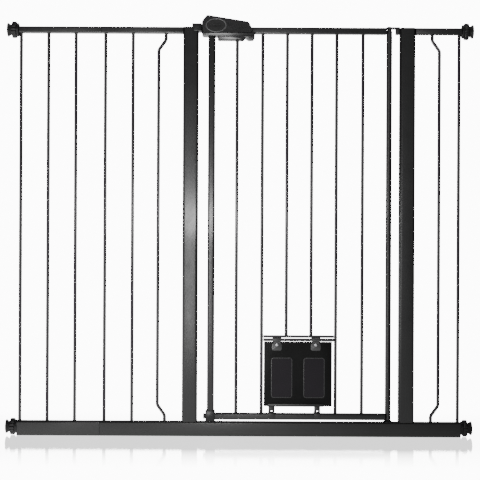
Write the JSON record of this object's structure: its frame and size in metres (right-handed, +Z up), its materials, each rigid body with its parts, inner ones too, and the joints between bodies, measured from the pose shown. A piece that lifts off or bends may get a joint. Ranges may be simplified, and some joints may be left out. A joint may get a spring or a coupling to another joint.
{
  "type": "pet gate",
  "caption": "Tall black steel pressure-fitted pet gate with a lift-and-swing door, squeeze latch and a hinged pet flap low in the door.",
  "frame": {"origin": "on the underside of the base rail, midway between the left and right wall pads and midway through the rail's depth", "axes": "+X to the right along the gate, +Y from the front (button side) to the back, +Z up"},
  "size_m": [1.1816, 0.045, 1.0644],
  "materials": {
    "powder_coated_steel": "satin black powder coat with a fine orange-peel texture",
    "blackened_metal": "smooth dark grey coated metal",
    "black_plastic": "moulded black plastic, fine texture",
    "black_rubber": "matt black rubber",
    "zinc_plated_steel": "bright zinc plate",
    "tinted_window": "glossy near-black tinted sheet"
  },
  "bodies": {
    "frame": {"bottom_rail": "powder_coated_steel", "extension_bottom_rail": "powder_coated_steel", "top_rail_left": "powder_coated_steel", "extension_top_rail": "powder_coated_steel", "top_rail_right": "powder_coated_steel", "left_post": "powder_coated_steel", "right_post": "powder_coated_steel", "extension_bar_1": "powder_coated_steel", "extension_bar_2": "powder_coated_steel", "extension_bar_3": "powder_coated_steel", "frame_bar_1": "powder_coated_steel", "frame_bar_2": "powder_coated_steel", "jogged_bar_left": "powder_coated_steel", "jogged_bar_right": "powder_coated_steel", "frame_bar_right": "powder_coated_steel", "strike": "black_plastic", "door_stop_stud": "zinc_plated_steel", "top_hinge_bracket": "powder_coated_steel", "lower_hinge_cup": "powder_coated_steel"},
    "nut_top_left": {"thumb_nut_top_left": "black_plastic"},
    "screw_top_left": {"spindle_top_left": "zinc_plated_steel", "wall_pad_top_left": "black_rubber"},
    "nut_bottom_left": {"thumb_nut_bottom_left": "black_plastic"},
    "screw_bottom_left": {"spindle_bottom_left": "zinc_plated_steel", "wall_pad_bottom_left": "black_rubber"},
    "nut_top_right": {"thumb_nut_top_right": "black_plastic"},
    "screw_top_right": {"spindle_top_right": "zinc_plated_steel", "wall_pad_top_right": "black_rubber"},
    "nut_bottom_right": {"thumb_nut_bottom_right": "black_plastic"},
    "screw_bottom_right": {"spindle_bottom_right": "zinc_plated_steel", "wall_pad_bottom_right": "black_rubber"},
    "hinge_core": {"hinge_core": "zinc_plated_steel"},
    "door": {"door_top_rail": "powder_coated_steel", "door_bottom_rail": "powder_coated_steel", "latch_stile": "powder_coated_steel", "hinge_stile": "powder_coated_steel", "door_bar_1": "powder_coated_steel", "door_bar_2": "powder_coated_steel", "door_bar_3": "powder_coated_steel", "door_bar_4": "powder_coated_steel", "short_bar_1": "powder_coated_steel", "short_bar_2": "powder_coated_steel", "flap_header": "powder_coated_steel", "flap_hinge_rod": "blackened_metal", "door_foot": "black_plastic", "handle_cover": "black_plastic", "handle_grip": "black_plastic"},
    "button": {"latch_button": "black_plastic"},
    "trigger": {"latch_trigger": "black_plastic"},
    "bolt": {"latch_bolt": "zinc_plated_steel"},
    "flap": {"flap_panel": "powder_coated_steel", "flap_window_left": "tinted_window", "flap_window_right": "tinted_window", "flap_clip_left": "blackened_metal", "flap_clip_right": "blackened_metal", "flap_screw_left": "zinc_plated_steel", "flap_screw_right": "zinc_plated_steel"},
    "lock": {"flap_lock": "powder_coated_steel"}
  },
  "joints": [
    {"name": "nut_turn_top_left", "type": "hinge", "parent": "frame", "child": "nut_top_left", "pos_m": [-0.5733, 0, 1.02825], "axis": [1, 0, 0], "range_deg": [0, 2880]},
    {"name": "screw_out_top_left", "type": "slide", "parent": "frame", "child": "screw_top_left", "axis": [-1, 0, 0], "range_m": [0, 0.012]},
    {"name": "nut_turn_bottom_left", "type": "hinge", "parent": "frame", "child": "nut_bottom_left", "pos_m": [-0.5733, 0, 0.0216], "axis": [1, 0, 0], "range_deg": [0, 2880]},
    {"name": "screw_out_bottom_left", "type": "slide", "parent": "frame", "child": "screw_bottom_left", "axis": [-1, 0, 0], "range_m": [0, 0.012]},
    {"name": "nut_turn_top_right", "type": "hinge", "parent": "frame", "child": "nut_top_right", "pos_m": [0.5733, 0, 1.02825], "axis": [-1, 0, 0], "range_deg": [0, 2880]},
    {"name": "screw_out_top_right", "type": "slide", "parent": "frame", "child": "screw_top_right", "axis": [1, 0, 0], "range_m": [0, 0.012]},
    {"name": "nut_turn_bottom_right", "type": "hinge", "parent": "frame", "child": "nut_bottom_right", "pos_m": [0.5733, 0, 0.0216], "axis": [-1, 0, 0], "range_deg": [0, 2880]},
    {"name": "screw_out_bottom_right", "type": "slide", "parent": "frame", "child": "screw_bottom_right", "axis": [1, 0, 0], "range_m": [0, 0.012]},
    {"name": "door_swing", "type": "hinge", "parent": "frame", "child": "hinge_core", "pos_m": [0.3782, 0, 0.5], "axis": [0, 0, 1], "range_deg": [-90, 90], "stiffness_Nm_per_rad": 0.6},
    {"name": "door_lift", "type": "slide", "parent": "hinge_core", "child": "door", "axis": [0, 0, 1], "range_m": [0, 0.004]},
    {"name": "button_push", "type": "slide", "parent": "door", "child": "button", "axis": [0, 1, 0], "range_m": [0, 0.003], "stiffness_N_per_m": 800, "springref_m": -0.002},
    {"name": "trigger_squeeze", "type": "slide", "parent": "door", "child": "trigger", "axis": [0, 0, 1], "range_m": [0, 0.004], "stiffness_N_per_m": 700, "springref_m": -0.003},
    {"name": "bolt_retract", "type": "slide", "parent": "door", "child": "bolt", "axis": [1, 0, 0], "range_m": [0, 0.0108]},
    {"name": "flap_swing", "type": "hinge", "parent": "door", "child": "flap", "pos_m": [0.1495, -0.006, 0.2445], "axis": [1, 0, 0], "range_deg": [-80, 80]},
    {"name": "lock_lift", "type": "slide", "parent": "flap", "child": "lock", "axis": [0, 0, 1], "range_m": [0, 0.015]}
  ],
  "couplings": [
    {"joint": "nut_turn_top_left", "follows": "screw_out_top_left", "rad_per_m": 4188.8},
    {"joint": "nut_turn_bottom_left", "follows": "screw_out_bottom_left", "rad_per_m": 4188.8},
    {"joint": "nut_turn_top_right", "follows": "screw_out_top_right", "rad_per_m": 4188.8},
    {"joint": "nut_turn_bottom_right", "follows": "screw_out_bottom_right", "rad_per_m": 4188.8},
    {"joint": "bolt_retract", "follows": "trigger_squeeze", "ratio": 2.7}
  ]
}
